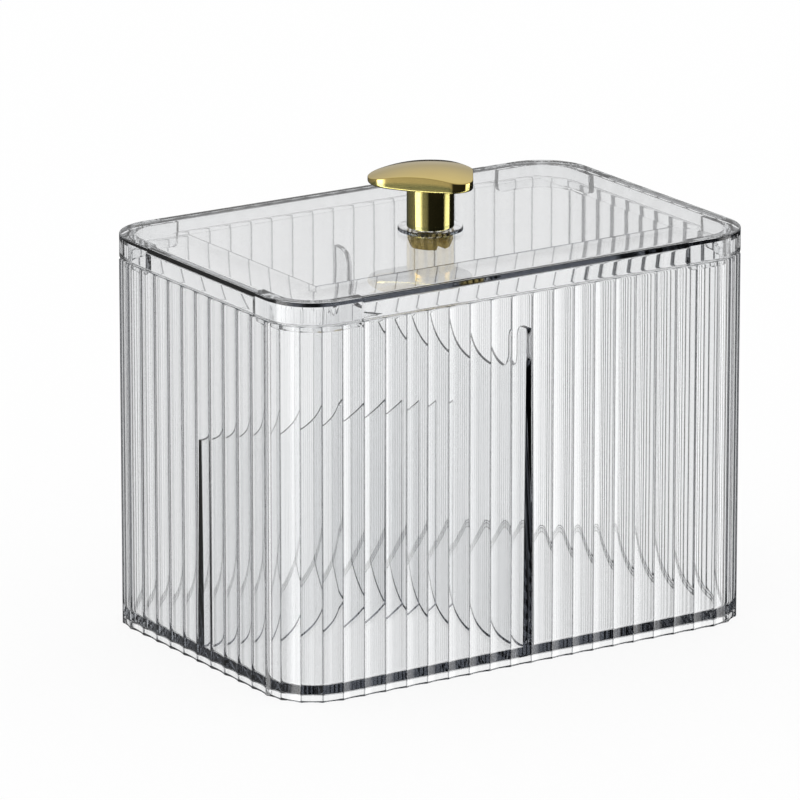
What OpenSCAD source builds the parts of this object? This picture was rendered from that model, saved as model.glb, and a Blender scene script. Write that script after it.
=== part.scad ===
// Clear moulded box with three compartments for cotton swabs and pads,
// closed by a lift-off lid with a gold knob.
// X runs along the length, Y along the depth, Z is up.
// The origin is on the ground under the middle of the box.

/* [Box] */
// Length of the box over its ridges
box_l = 135; // [110:1:180]
// Depth of the box over its ridges
box_d = 90; // [75:1:130]
// Height from the ground to the rim
box_h = 93; // [70:1:140]
// Radius of the four upright corners
corner_r = 13.5; // [10:0.5:18]
// Thickness of the upright walls, from a ridge to the inner face
wall = 2.4; // [1.8:0.1:3]
// Thickness of the floor
floor_t = 2.2; // [1.6:0.1:3]
// Height of the foot rim that holds the floor off the ground
foot_h = 1.6; // [1:0.1:3]

/* [Flutes] */
// Radius of each hollow flute on the outside of the walls
flute_r = 10; // [7:0.5:14]
// Number of flutes along each long side
flutes_long = 18; // [14:1:22]
// Number of flutes along each short side
flutes_short = 10; // [7:1:13]
// Number of flutes round each corner
flutes_corner = 4; // [3:1:5]

/* [Dividers] */
// Thickness of a divider along its top edge
divider_t = 1.4; // [1:0.1:2]
// Growth in a divider's thickness from its top edge to the floor
divider_draft = 1.5; // [0.6:0.1:2]
// Height of the cross divider above the floor, where it meets the walls
tall_h = 80.2; // [50:0.2:86]
// Drop of the cross divider's edge between its two shoulders
dip_drop = 11.4; // [9:0.2:20]
// Flat width of each shoulder beside the wall
shoulder_w = 2; // [1:0.2:5]
// Radius of the curves at each end of the dip
dip_r = 4; // [2:0.2:4.4]
// Height of the low divider above the floor
low_h = 52.1; // [25:0.1:60]

/* [Lid] */
// Height of the lid's side
lid_h = 5.9; // [4.5:0.1:9]
// Thickness of the lid's plate inside its hollow border
plate_t = 2.1; // [1.8:0.1:3]
// Width of the border round the plate, measured from the lid's side
border_w = 16; // [12:0.5:20]
// Radius of the shallow hollow under the border
border_r = 880; // [400:10:1500]
// Step up from the flat middle to the border
border_step = 0.12; // [0.05:0.01:0.3]
// Radius of the rounding along the lid's upper edge
lid_edge_r = 0.3; // [0.2:0.1:1.4]
// How far the lid's side stands in from the box's ridges
lid_inset = 0.2; // [0:0.1:1]
// Seam between the box's rim and the lid
seam = 0.1; // [0.05:0.05:0.3]
// Gap between the box's inner wall and the lid's locating tabs
tab_gap = 0.3; // [0.2:0.1:0.6]
// Thickness of the locating tabs
tab_t = 1.6; // [1.2:0.1:2.4]
// Depth that the tabs reach into the box
tab_drop = 1.9; // [1:0.1:4]
// Distance that each tab reaches from the corner of the box, along both sides
tab_reach = 20.5; // [18:0.5:30]
// Radius of the tabs' lower corners
tab_r = 1.5; // [0.5:0.1:2.5]
// Width of the raised collar round the knob's stem
collar_w = 2.2; // [1.5:0.1:5]
// Height of the collar above the lid's plate
collar_h = 0.8; // [0.4:0.1:2]

/* [Knob] */
// Height of the knob above the lid's plate
knob_h = 16; // [12:0.5:26]
// Diameter of the knob's stem
stem_d = 11.6; // [9:0.1:13]
// Width of the shoulder that steps in from the stem to the plug below it
stem_step = 0.7; // [0.6:0.1:1.5]
// Gap between the plug and its hole
plug_gap = 0.2; // [0.1:0.05:0.4]
// Width that each catch stands out past the edge of the hole
catch_w = 0.3; // [0.2:0.1:0.8]
// Length of the tapered catches under the lid's plate
catch_h = 3.6; // [2:0.1:5]
// Width of the slot that splits the plug
slot_w = 2.4; // [1:0.1:3]
// Thickness of the head at the highest point of its top
head_t = 5; // [3:0.1:7]
// Radius of the dome on top of the head
head_dome_r = 45; // [40:1:150]
// Radius of the dome under the head
head_under_r = 150; // [80:1:300]
// Turn of the head about the stem
head_turn = -36; // [-180:1:180]

/* [Hidden] */
$fn = 64;
eps = 0.01;

// Circles whose tangents and arcs make the head's plan: [x, y, radius], in turn round the head
head_rounds = [
    [-8.9, -0.6, 6.4],
    [6.1, -6.3, 4.6],
    [4.6, 0.2, 5.8],
    [-0.3, 4.4, 6.8]
];

long_straight = box_l - 2 * corner_r;
short_straight = box_d - 2 * corner_r;
inner_l = box_l - 2 * wall;
inner_d = box_d - 2 * wall;
inner_r = corner_r - wall;
floor_z = foot_h + floor_t;
lid_z = box_h + seam;
plate_z = lid_z + lid_h;
ceiling_z = plate_z - plate_t;
tab_l = inner_l - 2 * tab_gap;
tab_d = inner_d - 2 * tab_gap;
tab_corner_r = inner_r - tab_gap;
plug_d = stem_d - 2 * stem_step;
hole_d = plug_d + 2 * plug_gap;
collar_d = stem_d + 2 * collar_w;
knob_z = plate_z + collar_h;
head_z = plate_z + knob_h - head_t;

// Distance from the line through a flute's two ridges to the flute's centre
function flute_reach(pitch) = sqrt(flute_r * flute_r - pitch * pitch / 4);

// How far a dome of radius r has fallen at distance x from its axis
function dome_fall(x, r) = r - sqrt(r * r - x * x);

// Rise of the border's underside above the flat middle, at distance x from the lid's side
function border_rise(x) = border_step + dome_fall(border_w, border_r) - dome_fall(x, border_r);

// Outward unit vector of the tangent line that runs from round a to round b
function tangent_normal(a, b) =
    let (dx = b[0] - a[0], dy = b[1] - a[1])
    let (turn = atan2(dy, dx) - acos((a[2] - b[2]) / norm([dx, dy])))
    [cos(turn), sin(turn)];

// Both ends of that tangent line
function tangent_ends(a, b) =
    let (n = tangent_normal(a, b))
    [[a[0], a[1]] + a[2] * n, [b[0], b[1]] + b[2] * n];

module rounded_rect(l, d, r) {
    square([l - 2 * r, d], center = true);
    square([l, d - 2 * r], center = true);
    for (x = [-1, 1], y = [-1, 1])
        translate([x * (l / 2 - r), y * (d / 2 - r)])
            circle(r = r);
}

// A row of flute circles centred on the X axis, hollowing the side below it
module flute_row(count, span) {
    pitch = span / count;
    for (i = [0 : count - 1])
        translate([(i + 0.5) * pitch - span / 2, flute_reach(pitch)])
            circle(r = flute_r);
}

// The flute circles round one corner, in the quarter between +X and +Y
module flute_fan() {
    step = 90 / flutes_corner;
    chord = 2 * corner_r * sin(step / 2);
    for (i = [0 : flutes_corner - 1])
        rotate((i + 0.5) * step)
            translate([corner_r * cos(step / 2) + flute_reach(chord), 0])
                circle(r = flute_r);
}

module fluted_outline() {
    difference() {
        rounded_rect(box_l, box_d, corner_r);
        for (side = [0, 180]) {
            rotate(side)
                translate([0, box_d / 2])
                    flute_row(flutes_long, long_straight);
            rotate(side + 90)
                translate([0, box_l / 2])
                    flute_row(flutes_short, short_straight);
        }
        for (x = [0, 1], y = [0, 1])
            mirror([x, 0])
                mirror([0, y])
                    translate([long_straight / 2, short_straight / 2])
                        flute_fan();
    }
}

module shell() {
    difference() {
        linear_extrude(box_h)
            fluted_outline();
        translate([0, 0, floor_z])
            linear_extrude(box_h)
                rounded_rect(inner_l, inner_d, inner_r);
        translate([0, 0, -eps])
            linear_extrude(foot_h + eps)
                rounded_rect(inner_l, inner_d, inner_r);
    }
}

// Cross-section of a divider, from inside the floor to its top edge
module divider_section(h) {
    root = divider_t + divider_draft;
    sunk = floor_t / 2;
    polygon([
        [-root / 2, -sunk],
        [root / 2, -sunk],
        [root / 2, 0],
        [divider_t / 2, h],
        [-divider_t / 2, h],
        [-root / 2, 0]
    ]);
}

// A divider that runs along X from x0 to x1
module divider(x0, x1, h) {
    translate([x0, 0, floor_z])
        rotate([90, 0, 90])
            linear_extrude(x1 - x0)
                divider_section(h);
}

// One end of the dip, seen from the side: a rounded shoulder, then a hollow curve at its foot
module dip_end() {
    difference() {
        square([dip_r + eps, dip_drop + 1]);
        square([dip_r + 2 * eps, dip_drop - dip_r]);
        translate([0, dip_drop - dip_r])
            circle(r = dip_r);
    }
    difference() {
        translate([dip_r, 0])
            square([dip_r + eps, dip_drop + 1]);
        difference() {
            translate([dip_r - eps, -eps])
                square(dip_r + eps);
            translate([2 * dip_r, dip_r])
                circle(r = dip_r);
        }
    }
}

// What is cut from the cross divider, seen along X with the floor at zero
module dip_outline() {
    start = inner_d / 2 - shoulder_w;
    for (side = [0, 1])
        mirror([side, 0])
            translate([-start, tall_h - dip_drop])
                dip_end();
    half = start - 2 * dip_r;
    translate([-half - eps, tall_h - dip_drop])
        square([2 * half + 2 * eps, dip_drop + 1]);
}

module cross_divider() {
    bite = wall / 3;
    reach = inner_d / 2 + bite;
    difference() {
        rotate(90)
            divider(-reach, reach, tall_h);
        translate([-box_l / 4, 0, floor_z])
            rotate([90, 0, 90])
                linear_extrude(box_l / 2)
                    dip_outline();
    }
}

module low_divider() {
    bite = wall / 3;
    divider(-inner_l / 2 - bite, 0, low_h);
}

module box() {
    color("lightsteelblue", 0.35) {
        shell();
        cross_divider();
        low_divider();
    }
}

// A bar's profile with its two upper edges rounded, standing on the X axis
module rounded_bar(w, h, r) {
    translate([-w / 2, 0])
        square([w, h - r]);
    translate([r - w / 2, 0])
        square([w - 2 * r, h]);
    for (x = [-1, 1])
        translate([x * (w / 2 - r), h - r])
            circle(r = r);
}

// A rounded rectangle of height h whose upper edge is rounded all the way round
module soft_slab(l, d, h, r, edge) {
    rotate([90, 0, 0])
        linear_extrude(d - 2 * r, center = true)
            rounded_bar(l, h, edge);
    rotate([90, 0, 90])
        linear_extrude(l - 2 * r, center = true)
            rounded_bar(d, h, edge);
    for (x = [-1, 1], y = [-1, 1])
        translate([x * (l / 2 - r), y * (d / 2 - r), 0])
            rotate_extrude()
                intersection() {
                    rounded_bar(2 * r, h, edge);
                    square([r, h]);
                }
}

// The four corner pieces of the ring that stands just inside the walls
module tab_plan() {
    intersection() {
        difference() {
            rounded_rect(tab_l, tab_d, tab_corner_r);
            rounded_rect(tab_l - 2 * tab_t, tab_d - 2 * tab_t, tab_corner_r - tab_t);
        }
        for (x = [-1, 1], y = [-1, 1])
            translate([x * box_l / 2, y * box_d / 2])
                square(2 * tab_reach, center = true);
    }
}

// The sharp bit below a tab's rounded corner, with the corner at the origin
module tab_nick() {
    difference() {
        translate([-eps, -eps])
            square(tab_r + eps);
        translate([tab_r, tab_r])
            circle(r = tab_r);
    }
}

module locating_tabs() {
    difference() {
        translate([0, 0, lid_z - tab_drop])
            linear_extrude(tab_drop + lid_h - plate_t / 2)
                tab_plan();
        for (side = [0, 1])
            mirror([side, 0, 0]) {
                translate([tab_reach - box_l / 2, 0, lid_z - tab_drop])
                    mirror([1, 0, 0])
                        rotate([90, 0, 0])
                            linear_extrude(2 * box_d, center = true)
                                tab_nick();
                translate([0, 0, lid_z - tab_drop])
                    short_side_nicks();
            }
    }
}

// Nicks on the tabs' ends along one short side
module short_side_nicks() {
    for (side = [0, 1])
        mirror([0, side, 0])
            translate([-box_l / 2, tab_reach - box_d / 2, 0])
                mirror([0, 1, 0])
                    rotate([90, 0, 90])
                        linear_extrude(wall + tab_gap + tab_t + 1)
                            tab_nick();
}

// Section of the plate's underside: flat in the middle, then a step and a hollow border at each end
module underside_section(width) {
    steps = 8;
    polygon([
        for (i = [0 : steps])
            [border_w * i / steps - width / 2, border_rise(border_w * i / steps)],
        [border_w - width / 2, 0],
        [width / 2 - border_w, 0],
        for (i = [steps : -1 : 0])
            [width / 2 - border_w * i / steps, border_rise(border_w * i / steps)],
        [width / 2, plate_t],
        [-width / 2, plate_t]
    ]);
}

// The room under the plate, inside the skirt
module pocket(l, d) {
    difference() {
        translate([0, 0, lid_z - eps])
            linear_extrude(ceiling_z + border_rise(0) - lid_z + eps)
                rounded_rect(tab_l, tab_d, tab_corner_r);
        translate([0, 0, ceiling_z])
            intersection() {
                rotate([90, 0, 0])
                    linear_extrude(d, center = true)
                        underside_section(l);
                rotate([90, 0, 90])
                    linear_extrude(l, center = true)
                        underside_section(d);
            }
    }
}

module lid() {
    l = box_l - 2 * lid_inset;
    d = box_d - 2 * lid_inset;
    color("lightsteelblue", 0.35)
        difference() {
            union() {
                difference() {
                    translate([0, 0, lid_z])
                        soft_slab(l, d, lid_h, corner_r - lid_inset, lid_edge_r);
                    pocket(l, d);
                }
                locating_tabs();
                translate([0, 0, plate_z - plate_t / 2])
                    cylinder(d = collar_d, h = plate_t / 2 + collar_h);
            }
            translate([0, 0, ceiling_z - eps])
                cylinder(d = hole_d, h = plate_t + collar_h + 2 * eps);
        }
}

// The head's plan: four rounds joined by their tangents
module head_plan() {
    count = len(head_rounds);
    polygon([
        for (i = [0 : count - 1])
            for (end = tangent_ends(head_rounds[i], head_rounds[(i + 1) % count]))
                end
    ]);
    for (round = head_rounds)
        translate([round[0], round[1]])
            circle(r = round[2]);
}

// Body of revolution between the dome on top and the shallower dome below
module lens() {
    reach = max([for (round = head_rounds) norm([round[0], round[1]]) + round[2]]) + 1;
    steps = 10;
    rotate_extrude()
        polygon([
            for (i = [0 : steps])
                [reach * i / steps, dome_fall(reach * i / steps, head_under_r)],
            for (i = [steps : -1 : 0])
                [reach * i / steps, head_t - dome_fall(reach * i / steps, head_dome_r)]
        ]);
}

module head() {
    translate([0, 0, head_z])
        intersection() {
            translate([0, 0, -eps])
                linear_extrude(head_t + 1)
                    head_plan();
            lens();
        }
}

module plug() {
    catch_d = hole_d + 2 * catch_w;
    catch_z = ceiling_z - seam - catch_h;
    difference() {
        union() {
            translate([0, 0, catch_z])
                cylinder(d = plug_d, h = knob_z - catch_z);
            translate([0, 0, catch_z])
                cylinder(d1 = plug_d - 2 * catch_w, d2 = catch_d, h = catch_h / 2);
            translate([0, 0, catch_z + catch_h / 2])
                cylinder(d = catch_d, h = catch_h / 2);
        }
        translate([-slot_w / 2, -catch_d, catch_z - eps])
            cube([slot_w, 2 * catch_d, catch_h + seam + plate_t / 2]);
    }
}

module knob() {
    color("darkgoldenrod") {
        rotate(head_turn)
            head();
        translate([0, 0, knob_z])
            cylinder(d = stem_d, h = head_z + head_t / 2 - knob_z);
        plug();
    }
}

box();
lid();
knob();
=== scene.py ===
import math
import bpy
import numpy as np
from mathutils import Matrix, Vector


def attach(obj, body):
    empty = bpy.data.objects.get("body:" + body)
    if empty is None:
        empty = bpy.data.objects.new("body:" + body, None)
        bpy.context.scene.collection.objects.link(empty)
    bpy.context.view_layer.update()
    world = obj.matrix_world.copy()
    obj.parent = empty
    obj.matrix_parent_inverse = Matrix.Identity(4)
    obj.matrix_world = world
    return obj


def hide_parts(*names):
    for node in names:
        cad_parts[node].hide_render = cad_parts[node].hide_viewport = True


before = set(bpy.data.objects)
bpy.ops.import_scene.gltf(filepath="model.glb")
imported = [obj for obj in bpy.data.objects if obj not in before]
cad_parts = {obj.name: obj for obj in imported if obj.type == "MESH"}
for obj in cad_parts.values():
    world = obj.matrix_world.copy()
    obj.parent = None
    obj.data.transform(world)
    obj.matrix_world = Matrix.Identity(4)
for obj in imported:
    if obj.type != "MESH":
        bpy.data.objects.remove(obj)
scene = bpy.context.scene
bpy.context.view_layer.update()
mm = 0.001
quarterTurn = math.pi / 2
print("solids loaded:", ", ".join(sorted(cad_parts)))


# camera

cameraValues = {
    "turn": 32.93,       # degrees that the camera stands to the left of straight ahead
    "tilt": 15.87,       # degrees that it looks down
    "lens": 356.2,       # millimetres
    "sensor": 36,        # millimetres across
    "distance": 1.942,   # metres from the aim
    "aim": (-0.0054, 0.00527, 0.05522),
    "clip": (0.05, 50),
}


def placeCamera(v):
    # stands back from the aim along (sin turn cos tilt, cos turn cos tilt, -sin tilt)
    turn, tilt = math.radians(v["turn"]), math.radians(v["tilt"])
    forward = Vector((math.sin(turn) * math.cos(tilt), math.cos(turn) * math.cos(tilt), -math.sin(tilt)))
    data = bpy.data.cameras.new("packShot")
    data.lens, data.sensor_width = v["lens"], v["sensor"]
    data.clip_start, data.clip_end = v["clip"]
    camera = bpy.data.objects.new("packShot", data)
    camera.location = Vector(v["aim"]) - forward * v["distance"]
    camera.rotation_mode = "QUATERNION"
    camera.rotation_quaternion = forward.to_track_quat("-Z", "Y")
    scene.collection.objects.link(camera)
    scene.camera = camera


placeCamera(cameraValues)
print("camera placed")


# mesh tools

creaseAngle = 26   # degrees, edges sharper than this stay crisp


def gridMesh(name, points):
    # Surface over a grid of points. Each row is a closed loop, and the first and the last row are closed by one
    # flat face each.
    rows, columns = points.shape[:2]
    index = np.arange(rows * columns).reshape(rows, columns)
    ahead = np.roll(index, -1, axis=1)
    quads = np.stack([index[:-1], ahead[:-1], ahead[1:], index[1:]], axis=-1).reshape(-1, 4)
    ends = [index[0, ::-1].tolist(), index[-1].tolist()]
    mesh = bpy.data.meshes.new(name)
    mesh.from_pydata(points.reshape(-1, 3).tolist(), [], quads.tolist() + ends)
    mesh.update()
    return mesh


def addObject(name, mesh):
    item = bpy.data.objects.new(name, mesh)
    scene.collection.objects.link(item)
    return item


def joinSolids(target, others, operation="UNION"):
    # Unites the other solids with the target, or cuts them out of it, and leaves one closed mesh.
    for other in others:
        step = target.modifiers.new("join", "BOOLEAN")
        step.operation = operation
        step.solver = "MANIFOLD"
        step.object = other
    graph = bpy.context.evaluated_depsgraph_get()
    mesh = bpy.data.meshes.new_from_object(target.evaluated_get(graph))
    target.modifiers.clear()
    old = target.data
    target.data = mesh
    bpy.data.meshes.remove(old)
    for other in others:
        bpy.data.objects.remove(other)


def softenShading(item):
    mesh = item.data
    mesh.polygons.foreach_set("use_smooth", np.ones(len(mesh.polygons), bool))
    mesh.set_sharp_from_angle(angle=math.radians(creaseAngle))
    mesh.update()


def quarterRound(radius, steps):
    # Quarter circle as pairs (radius (1 - cos a), radius (1 - sin a)), so from (0, radius) to (radius, 0).
    angle = np.linspace(0, quarterTurn, steps)
    return np.stack([radius * (1 - np.cos(angle)), radius * (1 - np.sin(angle))], axis=1)


def roundedOutline(length, depth, radius, cornerSteps=28, sideSteps=6):
    # Rounded rectangle, counter-clockwise from the front left: four straight sides, each followed by a quarter
    # circle. Each column gets its outward normal, and a pull that carries it inward once an inset outline's corners
    # have shrunk to a point: normal + along * t / (half the straight side), and normal + along at a corner.
    points, normals, pulls = [], [], []
    for k in range(4):
        span, far = (length, depth) if k % 2 == 0 else (depth, length)
        span, far = span - 2 * radius, far / 2
        facing = (k - 1) * quarterTurn
        out = np.array([math.cos(facing), math.sin(facing)])
        along = np.array([-math.sin(facing), math.cos(facing)])
        t = np.linspace(-span / 2, span / 2, sideSteps + 1)[:, None]
        points.append(out * far + along * t)
        normals.append(np.repeat(out[None], len(t), 0))
        pulls.append(out + along * t / (span / 2))
        angle = facing + np.linspace(0, quarterTurn, cornerSteps + 1)[1:-1, None]
        circle = np.hstack([np.cos(angle), np.sin(angle)])
        points.append(out * (far - radius) + along * span / 2 + radius * circle)
        normals.append(circle)
        pulls.append(np.repeat((out + along)[None], len(angle), 0))
    return np.vstack(points), np.vstack(normals), np.vstack(pulls)


def sweepOutline(name, outline, sharpAt, rows):
    # Carries an outline up a profile: point = outline - normal * inset, and past the inset sharpAt, where the
    # corners have closed, point = outline - normal * sharpAt - pull * (inset - sharpAt).
    points, normals, pulls = outline
    rows = np.array(rows, float)
    inset = rows[:, :1, None]
    flat = points[None] - normals[None] * np.minimum(inset, sharpAt) - pulls[None] * np.maximum(inset - sharpAt, 0)
    height = np.repeat(rows[:, 1:2, None], len(points), 1)
    return gridMesh(name, np.concatenate([flat, height], axis=2))


def turnProfile(name, profile, steps=96):
    # Solid of revolution: each profile point (radius, height) goes round the Z axis.
    profile = np.array(profile, float)
    angle = np.linspace(0, 2 * math.pi, steps, endpoint=False)
    points = np.stack([
        profile[:, :1] * np.cos(angle), profile[:, :1] * np.sin(angle), np.repeat(profile[:, 1:], steps, 1)
    ], axis=-1)
    return gridMesh(name, points)


def slabFromOutline(name, outline, halfThickness, edge, axis):
    # Upright plate with a closed outline (across, height), counter-clockwise. Its edge is carried across the
    # thickness on two quarter circles of radius edge, and halfThickness(height) gives the tapered faces.
    ahead = np.roll(outline, -1, 0) - np.roll(outline, 1, 0)
    ahead /= np.linalg.norm(ahead, axis=1)[:, None]
    inward = np.stack([-ahead[:, 1], ahead[:, 0]], axis=1)
    back, inset = quarterRound(edge, 5).T
    back = np.concatenate([[0], back])
    inset = np.concatenate([[edge + 0.5 * mm], inset])
    side = np.repeat([-1, 1], len(inset))
    inset = np.concatenate([inset, inset[::-1]])
    back = np.concatenate([back, back[::-1]])
    place = outline[None] + inward[None] * inset[:, None, None]
    across = side[:, None] * (halfThickness(place[..., 1]) - back[:, None])
    if axis == "Y":
        points = np.stack([-across, place[..., 0], place[..., 1]], axis=-1)
    else:
        points = np.stack([place[..., 0], across, place[..., 1]], axis=-1)
    return gridMesh(name, points[::-1])


# box

boxValues = {
    "length": 135 * mm,
    "depth": 90 * mm,
    "height": 93 * mm,
    "cornerRadius": 13.5 * mm,
    "wall": 2.4 * mm,
    "floorTop": 3.8 * mm,
    "footHeight": 1.6 * mm,
    "fluteRadius": 10 * mm,
    "flutesLong": 18,
    "flutesShort": 10,
    "flutesCorner": 4,
    "ridgeSoftness": 0.02 * mm,
    "ridgeShadeWidth": 0.32 * mm,     # width of the painted shade line, either side of a ridge
    "edgeRound": 0.3 * mm,
    "floorFillet": 0.6 * mm,
    "crossHeight": 80.2 * mm,   # of the dividers, above the floor
    "lowHeight": 52.1 * mm,
    "dividerTop": 1.4 * mm,     # thickness of the dividers
    "dividerRoot": 2.9 * mm,
    "dividerSunk": 1.1 * mm,    # below the floor's top, where they are one with the floor
    "dipDrop": 11.4 * mm,
    "dipRadius": 4 * mm,
    "shoulder": 2 * mm,
    "dividerEdge": 0.25 * mm,
}


def flutedOutline(v):
    # Columns round the box. A flute is an arc of radius R over one pitch p, so at t from its middle it is hollow by
    # sqrt(R^2 - t^2) - sqrt(R^2 - (p/2)^2). Round a corner of radius r it is hollow by
    # r - (c cos a - sqrt(R^2 - (c sin a)^2)), where the flute's centre lies c from the corner's centre. Each ridge
    # is then softened: hollow becomes sqrt(hollow^2 + s^2) - s.
    station = np.array([0, 0.01, 0.023, 0.04, 0.067, 0.117, 0.2, 0.333, 0.5, 0.72, 1])   # closer near the ridges
    across = np.concatenate([station - 1, (1 - station)[::-1][1:-1]])
    arc, r, soft = v["fluteRadius"], v["cornerRadius"], v["ridgeSoftness"]
    sides = [(v["length"], v["depth"], v["flutesLong"]), (v["depth"], v["length"], v["flutesShort"])]
    step = quarterTurn / v["flutesCorner"]
    centre = r * math.cos(step / 2) + math.sqrt(arc**2 - (r * math.sin(step / 2))**2)
    points, normals, hollows = [], [], []
    for k in range(4):
        length, far, count = sides[k % 2]
        span, far = length - 2 * r, far / 2
        facing = (k - 1) * quarterTurn
        out = np.array([math.cos(facing), math.sin(facing)])
        along = np.array([-math.sin(facing), math.cos(facing)])
        pitch = span / count
        t = ((np.arange(count)[:, None] + 0.5 + across / 2) * pitch - span / 2).ravel()[:, None]
        hollow = np.sqrt(arc**2 - (pitch / 2 * across)**2) - math.sqrt(arc**2 - pitch**2 / 4)
        points.append(out * far + along * t)
        normals.append(np.repeat(out[None], len(t), 0))
        hollows.append(np.tile(hollow, count))
        angle = (facing + (np.arange(v["flutesCorner"])[:, None] + 0.5 + across / 2) * step).ravel()[:, None]
        circle = np.hstack([np.cos(angle), np.sin(angle)])
        turn = across / 2 * step
        hollow = r - (centre * np.cos(turn) - np.sqrt(arc**2 - (centre * np.sin(turn))**2))
        points.append(out * (far - r) + along * span / 2 + r * circle)
        normals.append(circle)
        hollows.append(np.tile(hollow, v["flutesCorner"]))
    hollow = np.concatenate(hollows)
    return np.vstack(points), np.vstack(normals), np.sqrt(hollow**2 + soft**2) - soft


def shellMesh(v):
    # The shell's skin in one sweep: point = outline - normal * (inset + share * hollow), where the share is 1 on
    # the fluted outside and 0 on the plain inside. A row is (share, inset, height).
    points, normals, hollow = flutedOutline(v)
    wall, foot, top, base = v["wall"], v["footHeight"], v["height"], v["floorTop"]
    e, f = v["edgeRound"], v["floorFillet"]
    edge, fillet = quarterRound(e, 6), quarterRound(f, 6)
    middle, aside, beyond = 12 * mm, 0.5 * mm, wall + f + 0.6 * mm   # rows that keep the flat faces flat
    rows = [(0, middle, foot), (0, beyond, foot)]
    rows += [(0, wall + y, foot - x) for x, y in fillet]
    rows += [(0, wall - x, y) for x, y in edge]
    rows += [(1, y, x) for x, y in edge]
    rows += [(1, 0, e + aside), (1, 0, top / 2), (1, 0, top - e - aside)]
    rows += [(1, x, top - y) for x, y in edge]
    rows += [(0, wall - y, top - x) for x, y in edge]
    rows += [(0, wall, top - e - aside), (0, wall, base + f + aside)]
    rows += [(0, wall + x, base + y) for x, y in fillet]
    rows += [(0, beyond, base), (0, middle, base)]
    rows = np.array(rows, float)
    move = rows[:, 1, None] + rows[:, 0, None] * hollow[None]
    flat = points[None] - normals[None] * move[..., None]
    height = np.repeat(rows[:, 2:, None], len(points), 1)
    return gridMesh("flutedShell", np.concatenate([flat, height], axis=2))


def dividerTaper(v, height):
    # Half a divider's thickness falls in a straight line from the floor to its top edge.
    slope = (v["dividerRoot"] - v["dividerTop"]) / height
    return lambda z: (v["dividerRoot"] - slope * np.clip(z - v["floorTop"], 0, height)) / 2


def crossOutline(v):
    # Side view of the cross divider: a shoulder at each wall, a rounded fall, a hollow curve and a flat dip. Its
    # ends lie two thirds of the way into the walls.
    reach = v["depth"] / 2 - v["wall"] * 2 / 3
    start = v["depth"] / 2 - v["wall"] - v["shoulder"]
    low, high = v["floorTop"] - v["dividerSunk"], v["floorTop"] + v["crossHeight"]
    dip, r = high - v["dipDrop"], v["dipRadius"]
    x, y = quarterRound(r, 13).T
    shoulderArc = np.stack([start - r + y, high - x], 1)
    hollowArc = np.stack([start - r - x, dip + y], 1)
    end = [[reach, (low + high) / 2], [reach, high], [(reach + start) / 2, high]]
    right = np.vstack([end, shoulderArc, hollowArc])
    left = right[::-1] * [-1, 1]
    middle = np.stack([np.linspace(start - 2 * r, 2 * r - start, 9)[1:-1], np.full(7, dip)], 1)
    bottom = np.stack([np.linspace(-reach, reach, 9), np.full(9, low)], 1)
    return np.vstack([right, middle, left, bottom])


def lowOutline(v):
    # Side view of the low divider: a plain oblong from the left wall to the middle of the cross divider.
    start, end = -v["length"] / 2 + v["wall"] * 2 / 3, 0.0
    low, high = v["floorTop"] - v["dividerSunk"], v["floorTop"] + v["lowHeight"]
    x = np.linspace(start, end, 9)
    z = np.linspace(low, high, 7)[1:-1]
    return np.vstack([
        np.stack([x, np.full(9, low)], 1), np.stack([np.full(5, end), z], 1),
        np.stack([x[::-1], np.full(9, high)], 1), np.stack([np.full(5, start), z[::-1]], 1)])


def paintRidgeShade(item, v):
    # painted shade along the ridges: 1 - distance / width round every ridge of the flutes, and 0 elsewhere
    points, _, hollow = flutedOutline(v)
    ridges = points[np.isclose(hollow, 0, atol=1e-9)]
    mesh = item.data
    places = np.empty(len(mesh.vertices) * 3)
    mesh.vertices.foreach_get("co", places)
    places = places.reshape(-1, 3)[:, :2]
    distance = np.linalg.norm(places[:, None] - ridges[None], axis=2).min(axis=1)
    mask = mesh.attributes.new("ridge", "FLOAT", "POINT")
    mask.data.foreach_set("value", np.clip(1 - distance / v["ridgeShadeWidth"], 0, 1).astype(np.float32))


def makeBox(v):
    box = addObject("flutedBox", shellMesh(v))
    cross = addObject("crossDivider", slabFromOutline(
        "crossDivider", crossOutline(v), dividerTaper(v, v["crossHeight"]), v["dividerEdge"], "Y"))
    low = addObject("lowDivider", slabFromOutline(
        "lowDivider", lowOutline(v), dividerTaper(v, v["lowHeight"]), v["dividerEdge"], "X"))
    joinSolids(box, [cross, low])
    paintRidgeShade(box, v)
    softenShading(box)
    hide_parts("box")
    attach(box, "box")
    return box


box = makeBox(boxValues)
print("box made:", len(box.data.polygons), "faces")


# lid

lidValues = {
    "length": 134.6 * mm,
    "depth": 89.6 * mm,
    "setBack": 0.2 * mm,        # of its sides from the box's
    "cornerRadius": 13.3 * mm,
    "bottom": 93.1 * mm,
    "top": 99 * mm,
    "plate": 2.1 * mm,
    "skirt": 2.5 * mm,
    "edgeRound": 0.3 * mm,
    "smallRound": 0.2 * mm,
    "fillet": 0.4 * mm,
    "tabThickness": 1.6 * mm,
    "tabDrop": 1.9 * mm,
    "tabReach": 20.5 * mm,
    "tabRadius": 1.5 * mm,
    "borderWidth": 16 * mm,     # from the lid's side to the flat middle of the plate's underside
    "borderHollow": 880 * mm,
    "borderStep": 0.12 * mm,
    "collarRadius": 8 * mm,
    "collarHeight": 0.8 * mm,
    "collarRound": 0.25 * mm,
    "holeRadius": 5.3 * mm,
}


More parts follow.
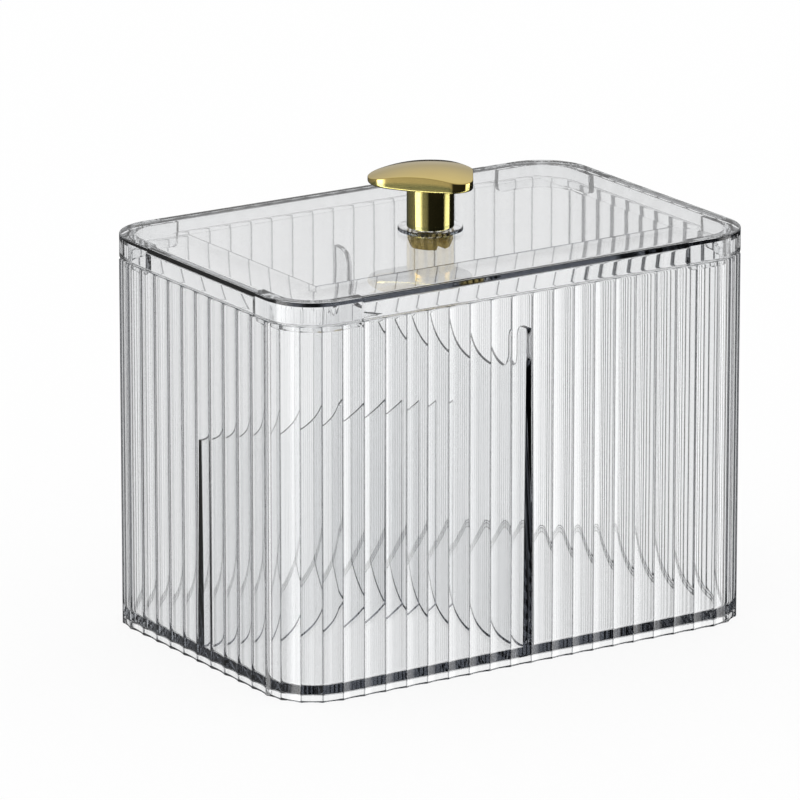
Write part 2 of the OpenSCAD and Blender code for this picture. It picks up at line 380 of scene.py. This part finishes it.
def lidRows(v):
    # Profile of the lid's plate and skirt, from the middle of its underside to the middle of its top. The border
    # under the plate is hollow: at d from the lid's side it lies at ceiling + step + sqrt(R^2 - d^2) -
    # sqrt(R^2 - width^2).
    s, f, e, r = v["skirt"], v["fillet"], v["smallRound"], v["edgeRound"]
    low, high, ceiling = v["bottom"], v["top"], v["top"] - v["plate"]
    crease, hollow = v["borderWidth"], v["borderHollow"]
    hair, aside = 0.01 * mm, 0.4 * mm

    def underside(d):
        return ceiling + v["borderStep"] + math.sqrt(hollow**2 - d**2) - math.sqrt(hollow**2 - crease**2)

    rows = [(crease + 4 * mm, ceiling), (crease + 0.3 * mm, ceiling), (crease + hair, ceiling)]
    rows += [(d, underside(d)) for d in np.linspace(crease - hair, s + f + 0.3 * mm, 25)]
    rows += [(s + y, underside(s + f) - x) for x, y in quarterRound(f, 7)]
    rows += [(s, low + e + aside)]
    rows += [(s - x, low + y) for x, y in quarterRound(e, 7)]
    rows += [(y, low + x) for x, y in quarterRound(e, 7)]
    rows += [(0, low + e + aside), (0, high - r - aside)]
    rows += [(x, high - y) for x, y in quarterRound(r, 11)]
    rows += [(r + 0.6 * mm, high), (12 * mm, high)]
    return rows


def tabMesh(v, signX, signY):
    # One locating tab: an oblong section carried round the box's inner corner. Near each end, at s from it, the
    # lower edge rises by r - sqrt(r^2 - (r - s)^2).
    outerX, outerY = v["length"] / 2 - v["skirt"], v["depth"] / 2 - v["skirt"]
    corner = v["cornerRadius"] - v["skirt"]
    endX, endY = v["length"] / 2 + v["setBack"] - v["tabReach"], v["depth"] / 2 + v["setBack"] - v["tabReach"]
    curve, risen = quarterRound(v["tabRadius"], 9).T
    turn = np.linspace(0, quarterTurn, 17)
    xs = np.concatenate([endX + curve, outerX - corner + corner * np.sin(turn), np.full(9, outerX)])
    ys = np.concatenate([np.full(9, outerY), outerY - corner + corner * np.cos(turn), (endY + curve)[::-1]])
    nx = np.concatenate([np.zeros(9), np.sin(turn), np.ones(9)])
    ny = np.concatenate([np.ones(9), np.cos(turn), np.zeros(9)])
    bottom = v["bottom"] - v["tabDrop"] + np.concatenate([risen, np.zeros(17), risen[::-1]])
    top = np.full(len(xs), v["top"] - v["plate"] / 2)
    inner = np.stack([(xs - nx * v["tabThickness"]) * signX, (ys - ny * v["tabThickness"]) * signY], 1)
    outer = np.stack([xs * signX, ys * signY], 1)
    loops = np.stack([
        np.column_stack([outer, bottom]), np.column_stack([inner, bottom]),
        np.column_stack([inner, top]), np.column_stack([outer, top])], axis=1)
    if signX * signY > 0:
        loops = loops[:, ::-1]   # a mirrored tab turns its loops round, so that its faces point outwards
    return gridMesh("tab", loops)


def makeLid(v):
    outline = roundedOutline(v["length"], v["depth"], v["cornerRadius"])
    lid = addObject("lidPlate", sweepOutline("lidPlate", outline, v["cornerRadius"] - 0.05 * mm, lidRows(v)))
    tabs = [addObject("tab", tabMesh(v, x, y)) for x in (1, -1) for y in (1, -1)]
    top, c, h, core = v["top"], v["collarRadius"], v["holeRadius"], 1 * mm
    high = top + v["collarHeight"]
    rim = [(c - x, high - y) for x, y in quarterRound(v["collarRound"], 6)]
    ring = [(core, top - core), (c, top - core)] + rim + [(core, high)]
    joinSolids(lid, tabs + [addObject("collar", turnProfile("collar", ring))])
    hole = addObject("hole", turnProfile("hole", [(h, top - 5 * mm), (h, top + 5 * mm)]))
    joinSolids(lid, [hole], "DIFFERENCE")
    softenShading(lid)
    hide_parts("lid")
    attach(lid, "lid")
    return lid


lid = makeLid(lidValues)
print("lid made:", len(lid.data.polygons), "faces")


# knob

knobValues = {
    "stemRadius": 5.8 * mm,
    "stemBottom": 99.8 * mm,
    "stemRound": 0.2 * mm,
    "plugRadius": 5.1 * mm,
    "plugBottom": 93.2 * mm,
    "plugLeadIn": 0.3 * mm,
    "catchHeight": 3.6 * mm,
    "catchRadius": 5.6 * mm,
    "slotWidth": 2.4 * mm,
    "slotTop": 97.94 * mm,
    "headBottom": 110 * mm,
    "headThickness": 5 * mm,
    "domeTop": 45 * mm,         # radii of the head's two domes
    "domeUnder": 150 * mm,
    "turn": -36,                # degrees
    "upperRound": 0.18 * mm,
    "lowerRound": 0.7 * mm,
    "rounds": [(-8.9, -0.6, 6.4), (6.1, -6.3, 4.6), (4.6, 0.2, 5.8), (-0.3, 4.4, 6.8)],   # x, y, radius, in mm
}


def headOutline(v, arcSteps=26, lineSteps=10):
    # The head's plan is the line round four circles: each circle's own arc, then the tangent to the next one. The
    # tangent's normal turns from the line of centres by acos((ra - rb) / distance).
    rounds = np.array(v["rounds"]) * mm
    ahead = np.roll(rounds, -1, 0)
    gap = ahead[:, :2] - rounds[:, :2]
    facing = np.arctan2(gap[:, 1], gap[:, 0]) - np.arccos((rounds[:, 2] - ahead[:, 2]) / np.linalg.norm(gap, axis=1))
    points, normals = [], []
    for k in range(len(rounds)):
        start = facing[k - 1]
        sweep = (facing[k] - start) % (2 * math.pi)
        angle = start + np.linspace(0, sweep, arcSteps)
        circle = np.stack([np.cos(angle), np.sin(angle)], 1)
        points.append(rounds[k, :2] + rounds[k, 2] * circle)
        normals.append(circle)
        out = circle[-1]
        a, b = rounds[k, :2] + rounds[k, 2] * out, ahead[k, :2] + ahead[k, 2] * out
        t = np.linspace(0, 1, lineSteps + 1)[1:-1, None]
        points.append(a + (b - a) * t)
        normals.append(np.repeat(out[None], len(t), 0))
    turn = math.radians(v["turn"])
    spin = np.array([[math.cos(turn), math.sin(turn)], [-math.sin(turn), math.cos(turn)]])
    return np.vstack(points) @ spin, np.vstack(normals) @ spin


def headMesh(v):
    # The head between two domes: its faces fall or rise by R - sqrt(R^2 - x^2) at x from the axis. Its rim is a
    # quarter circle below and a tight one above.
    points, normals = headOutline(v)
    low, big, small = v["headBottom"], v["lowerRound"], v["upperRound"]
    high = low + v["headThickness"]
    shares = (0.04, 0.2, 0.4, 0.6, 0.8, 0.92, 0.97)   # rings of the head's faces, from the middle out
    rows = []

    def fall(flat, radius):
        return radius - np.sqrt(radius**2 - (flat**2).sum(1))

    def addRow(flat, height):
        rows.append(np.column_stack([flat, height]))

    inner = points - normals * big
    for share in shares:
        addRow(inner * share, low + fall(inner * share, v["domeUnder"]))
    for x, y in quarterRound(big, 9):
        flat = points - normals * y
        addRow(flat, low + fall(flat, v["domeUnder"]) + x)
    for x, y in quarterRound(small, 6):
        flat = points - normals * x
        addRow(flat, high - fall(flat, v["domeTop"]) - y)
    inner = points - normals * (small + 0.1 * mm)
    for share in (1,) + shares[::-1]:
        addRow(inner * share, high - fall(inner * share, v["domeTop"]))
    return gridMesh("head", np.stack(rows))


def makeKnob(v):
    knob = addObject("goldKnob", headMesh(v))
    p, c, s, core = v["plugRadius"], v["catchRadius"], v["stemRadius"], 1 * mm
    low, foot, top = v["plugBottom"], v["stemBottom"], v["headBottom"] + 2 * mm
    middle, high = low + v["catchHeight"] / 2, low + v["catchHeight"]
    profile = [(core, low), (p - v["plugLeadIn"], low), (c, middle), (c, high), (p, high), (p, foot)]
    profile += [(s - y, foot + x) for x, y in quarterRound(v["stemRound"], 5)]
    profile += [(s, top), (core, top)]
    stem = addObject("stem", turnProfile("stem", profile))
    half = v["slotWidth"] / 2
    corners = np.array([[-half, -2 * c], [half, -2 * c], [half, 2 * c], [-half, 2 * c]])
    slotBox = np.stack([np.column_stack([corners, np.full(4, z)]) for z in (low - mm, v["slotTop"])])
    slot = addObject("slot", gridMesh("slot", slotBox))
    joinSolids(stem, [slot], "DIFFERENCE")
    joinSolids(knob, [stem])
    softenShading(knob)
    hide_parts("knob")
    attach(knob, "lid")
    return knob


knob = makeKnob(knobValues)
print("knob made:", len(knob.data.polygons), "faces")


# node tools

def setSocket(links, socket, value):
    if isinstance(value, bpy.types.NodeSocket):
        links.new(value, socket)
    else:
        socket.default_value = value


def mathNode(nodes, links, operation, first, second=None, clamp=False):
    node = nodes.new("ShaderNodeMath")
    node.operation = operation
    node.use_clamp = clamp
    setSocket(links, node.inputs[0], first)
    if second is not None:
        setSocket(links, node.inputs[1], second)
    return node.outputs[0]


def mixLevels(nodes, links, share, first, second):
    node = nodes.new("ShaderNodeMix")
    for socket, value in zip((node.inputs[0], node.inputs[2], node.inputs[3]), (share, first, second)):
        setSocket(links, socket, value)
    return node.outputs[0]


def mixColours(nodes, links, share, first, second):
    node = nodes.new("ShaderNodeMix")
    node.data_type = "RGBA"
    for socket, value in zip((node.inputs[0], node.inputs[6], node.inputs[7]), (share, first, second)):
        setSocket(links, socket, value)
    return node.outputs[2]


def mixShaders(nodes, links, share, first, second):
    node = nodes.new("ShaderNodeMixShader")
    for socket, value in zip(node.inputs, (share, first, second)):
        links.new(value, socket)
    return node.outputs[0]


def mapRange(nodes, links, value, **ends):
    # a straight line from fromMin..fromMax to toMin..toMax, level beyond both ends
    node = nodes.new("ShaderNodeMapRange")
    names = {"fromMin": "From Min", "fromMax": "From Max", "toMin": "To Min", "toMax": "To Max"}
    for name, level in ends.items():
        node.inputs[names[name]].default_value = level
    links.new(value, node.inputs["Value"])
    return node.outputs["Result"]


def mirroredOutside(nodes, links, path):
    # 1 for a mirrored ray that hasn't been inside the plastic yet
    outside = mathNode(nodes, links, "LESS_THAN", path.outputs["Transmission Depth"], 0.5)
    return mathNode(nodes, links, "MULTIPLY", path.outputs["Is Glossy Ray"], outside)


def newMaterial(name):
    material = bpy.data.materials.new(name)
    material.use_nodes = True
    nodes = material.node_tree.nodes
    nodes.clear()
    return material, nodes, material.node_tree.links


def makePatches():
    # Shared by both finishes: soft patches from 0 to 1, noise(position * scale), on the piece's own coordinates.
    group = bpy.data.node_groups.new("softPatches", "ShaderNodeTree")
    group.interface.new_socket("Scale", in_out="INPUT", socket_type="NodeSocketFloat")
    group.interface.new_socket("Detail", in_out="INPUT", socket_type="NodeSocketFloat")
    group.interface.new_socket("Patches", in_out="OUTPUT", socket_type="NodeSocketFloat")
    start, end = group.nodes.new("NodeGroupInput"), group.nodes.new("NodeGroupOutput")
    coords = group.nodes.new("ShaderNodeTexCoord")
    noise = group.nodes.new("ShaderNodeTexNoise")
    group.links.new(coords.outputs["Object"], noise.inputs["Vector"])
    group.links.new(start.outputs["Scale"], noise.inputs["Scale"])
    group.links.new(start.outputs["Detail"], noise.inputs["Detail"])
    group.links.new(noise.outputs["Fac"], end.inputs["Patches"])
    return group


def addPatches(nodes, group, v):
    node = nodes.new("ShaderNodeGroup")
    node.node_tree = group
    node.inputs["Scale"].default_value = v["patchScale"]
    node.inputs["Detail"].default_value = v["patchDetail"]
    return node.outputs["Patches"]


# finishes

plasticValues = {
    "ior": 1.49,
    "roughness": 0.0,
    "tint": (0.999, 1.0, 1.0, 1),
    "deeperTint": (0.986, 0.991, 0.992, 1),
    "patchScale": 60,
    "patchDetail": 1,
    "bumpStrength": 0.05,
    "bumpDistance": 0.5 * mm,
    "absorbed": (0.5, 0.525, 0.575, 1),      # colour left after a long way through the plastic
    "density": 33.0,
    "ridgeTint": (0.04, 0.045, 0.055, 1),    # painted shade: a thin dark line along each ridge, in place of the dark edge that refraction gives
    "shadowTint": (0.9, 0.93, 0.94, 1),      # what a shadow ray keeps at each surface
}

goldValues = {
    "colour": (0.73, 0.57, 0.205, 1),
    "deeper": (0.64, 0.485, 0.165, 1),
    "patchScale": 140,
    "patchDetail": 3,
    "roughness": 0.09,
    "roughnessSpread": 0.03,
    "plugShadeColour": (0.30, 0.235, 0.1, 1),     # painted shade: darker gold on the plug, under the collar, for the dark surroundings it mirrors
    "plugTop": 98.3 * mm,
}


def clearPlastic(v, patches):
    material, nodes, links = newMaterial("clearPlastic")
    cloud = addPatches(nodes, patches, v)
    bump = nodes.new("ShaderNodeBump")
    bump.inputs["Strength"].default_value = v["bumpStrength"]
    bump.inputs["Distance"].default_value = v["bumpDistance"]
    links.new(cloud, bump.inputs["Height"])
    # painted shade: the ridge mask darkens the plastic's colour to a thin line along each ridge
    ridge = nodes.new("ShaderNodeAttribute")
    ridge.attribute_name = "ridge"
    tint = mixColours(nodes, links, cloud, v["tint"], v["deeperTint"])
    shader = nodes.new("ShaderNodeBsdfPrincipled")
    shader.inputs["Roughness"].default_value = v["roughness"]
    shader.inputs["IOR"].default_value = v["ior"]
    shader.inputs["Transmission Weight"].default_value = 1
    links.new(mixColours(nodes, links, ridge.outputs["Fac"], tint, v["ridgeTint"]), shader.inputs["Base Color"])
    links.new(bump.outputs["Normal"], shader.inputs["Normal"])
    clear = nodes.new("ShaderNodeBsdfTransparent")
    clear.inputs["Color"].default_value = v["shadowTint"]
    # shadow rays go straight through, and so do mirrored rays that haven't been inside the plastic yet
    path = nodes.new("ShaderNodeLightPath")
    mirrored = mirroredOutside(nodes, links, path)
    passed = mathNode(nodes, links, "ADD", path.outputs["Is Shadow Ray"], mirrored, True)
    depth = nodes.new("ShaderNodeVolumeAbsorption")
    depth.inputs["Color"].default_value = v["absorbed"]
    depth.inputs["Density"].default_value = v["density"]
    end = nodes.new("ShaderNodeOutputMaterial")
    links.new(mixShaders(nodes, links, passed, shader.outputs[0], clear.outputs[0]), end.inputs["Surface"])
    links.new(depth.outputs[0], end.inputs["Volume"])
    return material


def goldPlating(v, patches):
    material, nodes, links = newMaterial("goldPlating")
    cloud = addPatches(nodes, patches, v)
    coords = nodes.new("ShaderNodeTexCoord")
    axes = nodes.new("ShaderNodeSeparateXYZ")
    links.new(coords.outputs["Object"], axes.inputs[0])
    # painted shade: below plugTop the gold turns darker, standing in for the dark surroundings the plug mirrors
    below = mathNode(nodes, links, "LESS_THAN", axes.outputs[2], v["plugTop"])
    tone = mixColours(nodes, links, cloud, v["colour"], v["deeper"])
    shader = nodes.new("ShaderNodeBsdfPrincipled")
    shader.inputs["Metallic"].default_value = 1
    links.new(mixColours(nodes, links, below, tone, v["plugShadeColour"]), shader.inputs["Base Color"])
    links.new(mapRange(nodes, links, cloud, toMin=v["roughness"] - v["roughnessSpread"],
                       toMax=v["roughness"] + v["roughnessSpread"]), shader.inputs["Roughness"])
    end = nodes.new("ShaderNodeOutputMaterial")
    links.new(shader.outputs[0], end.inputs["Surface"])
    return material


patches = makePatches()
plastic, gold = clearPlastic(plasticValues, patches), goldPlating(goldValues, patches)
for item, finish in ((box, plastic), (lid, plastic), (knob, gold)):
    item.data.materials.clear()
    item.data.materials.append(finish)
print("finishes made")


# studio

studioValues = {
    "floorSize": 6.0,
    "floorColour": (0.97, 0.97, 0.97, 1),
    "floorShade": 0.12,      # share of the floor's look that comes from light and shadow
    "skyLevel": 1.0,         # plain light on matt surfaces
    "barPitch": 45,          # degrees between the dark cards, which only light turned back in the plastic sees
    "barEnds": (-0.7, 0.0),  # of the cosine, where a card ends and where a gap is full
    "barLevel": 0.05,
    "gapLevel": 1.0,
    "turnLevel": 0.9,        # share of light kept at each turn inside the plastic
    "turn": cameraValues["turn"],
    "horizonBlend": 12,      # how sharply the low ring meets the high one
    "lowSky": 0.65,          # level of the high ring just above the horizon, and where it has reached 1
    "climb": (0.25, 0.6),
    # what the gold and the lid's top mirror, below and above the horizon: degrees round, clockwise from straight
    # behind the box as photographed, and the level there
    "lowMirror": [(0, 0.02), (70, 0.02), (78, 3.4), (100, 2.6), (110, 0.02), (188, 0.03), (196, 0.35), (218, 0.6),
                  (226, 2.2), (234, 5.0), (256, 5.0), (262, 0.4), (330, 0.15), (360, 0.02)],
    "highMirror": [(0, 0.85), (50, 0.8), (75, 0.4), (110, 0.7), (140, 0.45), (220, 0.5), (250, 0.8), (285, 0.45),
                   (310, 0.8), (360, 0.85)],
}


def makeFloor(v):
    # White where the camera sees it, apart from a share of true shade, and clear to mirrored and passing rays.
    half = v["floorSize"] / 2
    mesh = bpy.data.meshes.new("floor")
    mesh.from_pydata([(-half, -half, 0), (half, -half, 0), (half, half, 0), (-half, half, 0)], [], [(0, 1, 2, 3)])
    floor = addObject("floor", mesh)
    material, nodes, links = newMaterial("paleFloor")
    matt = nodes.new("ShaderNodeBsdfDiffuse")
    matt.inputs["Color"].default_value = v["floorColour"]
    glow = nodes.new("ShaderNodeEmission")
    clear = nodes.new("ShaderNodeBsdfTransparent")
    path = nodes.new("ShaderNodeLightPath")
    white = mathNode(nodes, links, "MULTIPLY", path.outputs["Is Camera Ray"], 1 - v["floorShade"])
    passed = mathNode(nodes, links, "ADD", path.outputs["Is Glossy Ray"], path.outputs["Is Transmission Ray"], True)
    seen = mixShaders(nodes, links, white, matt.outputs[0], glow.outputs[0])
    end = nodes.new("ShaderNodeOutputMaterial")
    links.new(mixShaders(nodes, links, passed, seen, clear.outputs[0]), end.inputs["Surface"])
    floor.data.materials.append(material)


def levelRing(nodes, links, bearing, stops):
    # straight lines between the stops, as a ramp of level / highest level, times the highest level
    ramp = nodes.new("ShaderNodeValToRGB")
    elements = ramp.color_ramp.elements
    top = max(level for _, level in stops)
    while len(elements) < len(stops):
        elements.new(0.5)
    for element, (degrees, level) in zip(elements, stops):
        element.position = degrees / 360
        element.color = (level / top, level / top, level / top, 1)
    links.new(bearing, ramp.inputs[0])
    return mathNode(nodes, links, "MULTIPLY", ramp.outputs[0], top)


def makeWorld(v):
    # The level of the sky by the kind of ray: white to the camera and through clear plastic, plain on matt
    # surfaces, two rings to what mirrors it, and dark cards to light that was turned back inside the plastic.
    world = bpy.data.worlds.new("studio")
    scene.world = world
    world.use_nodes = True
    world.cycles.sampling_method = "NONE"
    nodes, links = world.node_tree.nodes, world.node_tree.links
    nodes.clear()
    coords = nodes.new("ShaderNodeTexCoord")
    axes = nodes.new("ShaderNodeSeparateXYZ")
    links.new(coords.outputs["Generated"], axes.inputs[0])
    path = nodes.new("ShaderNodeLightPath")

    # bearing: 0 straight behind the box as photographed, rising clockwise to 1
    turned = mathNode(nodes, links, "ARCTAN2", axes.outputs[0], axes.outputs[1])
    share = mathNode(nodes, links, "SUBTRACT", mathNode(nodes, links, "DIVIDE", turned, 2 * math.pi), v["turn"] / 360)
    bearing = mathNode(nodes, links, "FRACT", mathNode(nodes, links, "ADD", share, 2))

    # dark cards: cosine of the bearing over one pitch, dimmed by turnLevel at each turn inside the plastic
    angle = mathNode(nodes, links, "MULTIPLY", bearing, 2 * math.pi * 360 / v["barPitch"])
    cards = mapRange(nodes, links, mathNode(nodes, links, "COSINE", angle), fromMin=v["barEnds"][0],
                     fromMax=v["barEnds"][1], toMin=v["barLevel"], toMax=v["gapLevel"])
    turns = path.outputs["Glossy Depth"]
    dimmed = mathNode(nodes, links, "MULTIPLY", cards, mathNode(nodes, links, "POWER", v["turnLevel"], turns))
    inside = mixLevels(nodes, links, mathNode(nodes, links, "MINIMUM", turns, 1), 1, dimmed)

    # the two rings, blended over the horizon
    low = levelRing(nodes, links, bearing, v["lowMirror"])
    climb = mapRange(nodes, links, axes.outputs[2], fromMin=v["climb"][0], fromMax=v["climb"][1], toMin=v["lowSky"])
    high = mathNode(nodes, links, "MULTIPLY", levelRing(nodes, links, bearing, v["highMirror"]), climb)
    raised = mathNode(nodes, links, "MULTIPLY", axes.outputs[2], v["horizonBlend"])
    rings = mixLevels(nodes, links, mathNode(nodes, links, "ADD", raised, 0.5, True), low, high)

    level = mixLevels(nodes, links, mirroredOutside(nodes, links, path), inside, rings)
    level = mixLevels(nodes, links, path.outputs["Is Diffuse Ray"], level, v["skyLevel"])
    level = mixLevels(nodes, links, path.outputs["Is Camera Ray"], level, 1)
    sky = nodes.new("ShaderNodeBackground")
    sky.inputs["Color"].default_value = (1, 1, 1, 1)
    links.new(level, sky.inputs["Strength"])
    end = nodes.new("ShaderNodeOutputWorld")
    links.new(sky.outputs[0], end.inputs["Surface"])


makeFloor(studioValues)
makeWorld(studioValues)
scene.view_settings.view_transform = "Standard"
scene.cycles.max_bounces = 32
scene.cycles.transmission_bounces = 32
scene.cycles.glossy_bounces = 16
scene.cycles.transparent_max_bounces = 24
scene.cycles.use_denoising = True
print("studio made")
